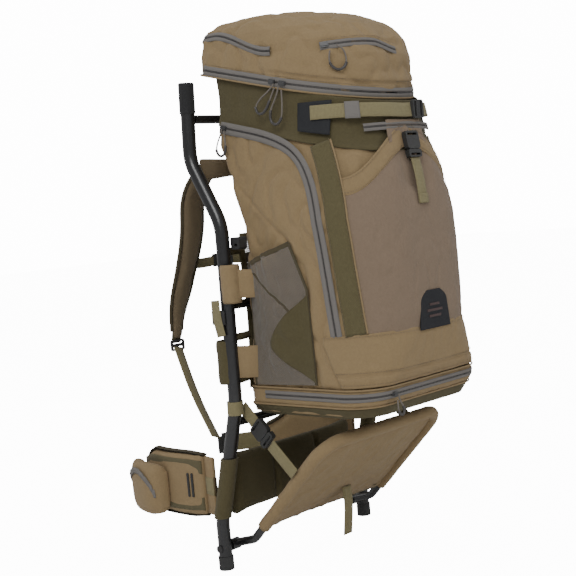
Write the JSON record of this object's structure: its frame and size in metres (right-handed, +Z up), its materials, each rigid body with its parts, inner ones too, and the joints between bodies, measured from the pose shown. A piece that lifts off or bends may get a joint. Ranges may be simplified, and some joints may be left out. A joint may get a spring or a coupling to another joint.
{
  "type": "hunting backpack",
  "caption": "External-frame hunting pack with zipped bag, hinged lid, fold-down load shelf, padded shoulder harness and hip belt.",
  "frame": {"origin": "on the ground midway between the two feet of the frame", "axes": "+Z up, +Y towards the wearer's back and harness, the bag hangs on the -Y side, +X to the wearer's right"},
  "size_m": [0.5198, 0.6697, 1.018],
  "materials": {
    "frame_tube": "satin black powder coat",
    "steel": "dull",
    "black_plastic": "moulded",
    "sleeve": "coated",
    "buckle_grey": "moulded",
    "fabric_tan": "woven",
    "fabric_olive": "woven",
    "pad_brown": "brushed",
    "mesh": "open mesh",
    "zipper_tape": "coated",
    "webbing": "ribbed",
    "patch_black": "matt",
    "slider_metal": "satin",
    "pull_cord": "braided"
  },
  "bodies": {
    "root": {"back_mesh": "pad_brown", "back_yoke": "pad_brown", "bag_base": "fabric_tan", "bag_brackets": "black_plastic", "bag_collar": "fabric_olive", "bag_shell": "fabric_tan", "base_zipper": "zipper_tape", "belt_sleeves": "sleeve", "compression_buckle": "buckle_grey", "compression_strap": "webbing", "corner_strips": "fabric_olive", "crossbars": "frame_tube", "foot_caps": "black_plastic", "front_buckle": "buckle_grey", "front_pocket": "fabric_tan", "front_zipper": "zipper_tape", "harness_webbing": "webbing", "label_patch": "patch_black", "lumbar_pad": "fabric_tan", "mesh_pocket_left": "mesh", "mesh_pocket_right": "mesh", "shelf_buckles": "buckle_grey", "shelf_clips": "buckle_grey", "shelf_pivots": "steel", "shelf_straps": "webbing", "side_zippers": "zipper_tape", "strap_patches": "patch_black", "top_sleeves": "sleeve", "upright_left": "frame_tube", "upright_right": "frame_tube"},
    "shelf": {"shelf_bar": "frame_tube", "shelf_panel": "fabric_tan", "shelf_webbing": "webbing"},
    "lid": {"lid": "fabric_tan", "lid_zipper": "zipper_tape", "lid_pocket_zipper": "zipper_tape"},
    "lid_slider_rear": {"lid_slider_rear": "slider_metal", "lid_cord_rear": "pull_cord"},
    "lid_slider_front": {"lid_slider_front": "slider_metal", "lid_cord_front": "pull_cord"},
    "lid_pocket_slider": {"lid_pocket_slider": "slider_metal", "lid_pocket_cord": "pull_cord"},
    "side_slider": {"side_slider_left": "slider_metal", "side_cord_left": "pull_cord"},
    "base_slider": {"base_slider": "slider_metal", "base_cord": "pull_cord"},
    "front_clip": {"front_clip": "buckle_grey", "front_webbing": "webbing"},
    "shoulder_left": {"shoulder_pad_left": "pad_brown", "ladder_lock_left": "buckle_grey", "sternum_half_left": "webbing"},
    "shoulder_right": {"shoulder_pad_right": "pad_brown", "ladder_lock_right": "buckle_grey", "sternum_half_right": "webbing"},
    "belt_left": {"belt_wing_left": "fabric_tan", "belt_pouch_left": "fabric_tan", "belt_clip_left": "webbing"},
    "belt_right": {"belt_wing_right": "fabric_tan", "belt_pouch_right": "fabric_tan", "belt_clip_right": "webbing"}
  },
  "joints": [
    {"name": "shelf_fold", "type": "hinge", "parent": "root", "child": "shelf", "pos_m": [0, 0, 0.042], "axis": [1, 0, 0], "range_deg": [0, 40]},
    {"name": "lid_open", "type": "hinge", "parent": "root", "child": "lid", "pos_m": [0, 0.0095, 0.9255], "axis": [-1, 0, 0], "range_deg": [0, 105]},
    {"name": "lid_zip_rear", "type": "slide", "parent": "lid", "child": "lid_slider_rear", "axis": [0, 0.9713, 0.238], "range_m": [0, 0.12]},
    {"name": "lid_zip_front", "type": "slide", "parent": "lid", "child": "lid_slider_front", "axis": [0.1554, -0.9595, -0.2351], "range_m": [0, 0.02]},
    {"name": "lid_pocket_zip", "type": "slide", "parent": "lid", "child": "lid_pocket_slider", "axis": [0.6947, -0.7193, 0], "range_m": [0, 0.02]},
    {"name": "side_zip", "type": "slide", "parent": "root", "child": "side_slider", "axis": [-0.0201, -0.9718, -0.2348], "range_m": [0, 0.085]},
    {"name": "base_zip", "type": "slide", "parent": "root", "child": "base_slider", "axis": [1, 0, 0], "range_m": [0, 0.2]},
    {"name": "front_clip_release", "type": "slide", "parent": "root", "child": "front_clip", "axis": [0, -0.1566, -0.9877], "range_m": [0, 0.022]},
    {"name": "shoulder_swing_left", "type": "hinge", "parent": "root", "child": "shoulder_left", "pos_m": [0, 0.01, 0.757], "axis": [1, 0, 0], "range_deg": [0, 30]},
    {"name": "shoulder_swing_right", "type": "hinge", "parent": "root", "child": "shoulder_right", "pos_m": [0, 0.01, 0.757], "axis": [1, 0, 0], "range_deg": [0, 30]},
    {"name": "belt_fold_left", "type": "hinge", "parent": "root", "child": "belt_left", "pos_m": [-0.198, 0.034, 0.158], "axis": [0, 0, 1], "range_deg": [-10, 35]},
    {"name": "belt_fold_right", "type": "hinge", "parent": "root", "child": "belt_right", "pos_m": [0.198, 0.034, 0.158], "axis": [0, 0, -1], "range_deg": [-10, 35]}
  ]
}
